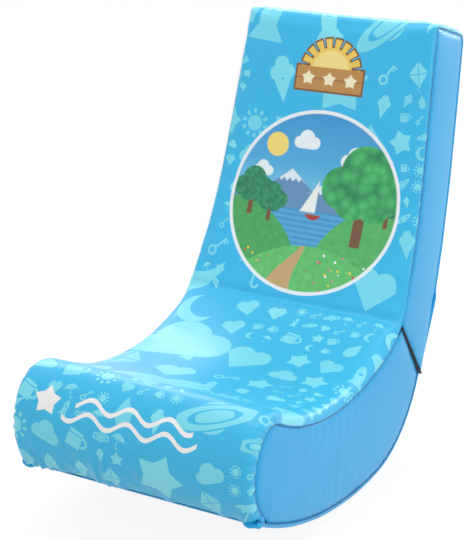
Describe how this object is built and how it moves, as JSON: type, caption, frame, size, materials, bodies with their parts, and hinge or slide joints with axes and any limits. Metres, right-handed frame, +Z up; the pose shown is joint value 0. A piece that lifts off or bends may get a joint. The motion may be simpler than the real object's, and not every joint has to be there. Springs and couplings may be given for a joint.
{
  "type": "floor rocker chair",
  "caption": "Low floor rocker with a padded seat on a curved base and a padded backrest that folds down onto the seat, in a sewn blue cover with a printed front.",
  "frame": {"origin": "on the floor, in the middle of the strip that the curved base rests on, half way across the width", "axes": "+X across the width to the sitter's left, +Y to the rear, +Z up"},
  "size_m": [0.4198, 0.8379, 0.7119],
  "materials": {
    "printed_vinyl": "satin printed vinyl, sky blue with pale motifs",
    "plain_vinyl": "satin plain vinyl, sky blue",
    "lining": "plain woven lining",
    "foam": "open-cell foam",
    "webbing": "woven elastic webbing",
    "board": "sawn board",
    "hardboard": "pressed hardboard",
    "steel": "zinc-plated sheet steel"
  },
  "bodies": {
    "seat": {"hinge_pins": "steel", "rocker_board": "hardboard", "rocker_cover": "plain_vinyl", "rocker_welt_left": "plain_vinyl", "rocker_welt_right": "plain_vinyl", "seat_cover": "printed_vinyl", "seat_cross_rail_front": "board", "seat_cross_rail_rear": "board", "seat_end_cover": "lining", "seat_foam": "foam", "seat_frame_screws": "steel", "seat_front_rail": "board", "seat_hinge_leaves": "steel", "seat_hinge_screws": "steel", "seat_joint_board": "board", "seat_nose_foam": "foam", "seat_side_board_left": "board", "seat_side_board_right": "board", "seat_side_cover_left": "plain_vinyl", "seat_side_cover_right": "plain_vinyl", "seat_side_pad_left": "foam", "seat_side_pad_right": "foam", "seat_webbing": "webbing", "seat_welt_left": "plain_vinyl", "seat_welt_right": "plain_vinyl"},
    "back": {"back_cover": "printed_vinyl", "back_end_cover": "lining", "back_foam": "foam", "back_frame_screws": "steel", "back_hinge_leaves": "steel", "back_hinge_screws": "steel", "back_joint_board": "board", "back_middle_rail": "board", "back_rear_cover": "plain_vinyl", "back_rear_panel": "hardboard", "back_side_board_left": "board", "back_side_board_right": "board", "back_side_cover_left": "plain_vinyl", "back_side_cover_right": "plain_vinyl", "back_side_pad_left": "foam", "back_side_pad_right": "foam", "back_top_rail": "board", "back_webbing": "webbing", "back_welt_left": "plain_vinyl", "back_welt_right": "plain_vinyl"}
  },
  "joints": [
    {"name": "fold", "type": "hinge", "parent": "seat", "child": "back", "pos_m": [0, 0.10776, 0.23847], "axis": [1, 0, 0], "range_deg": [0, 106.8]}
  ]
}
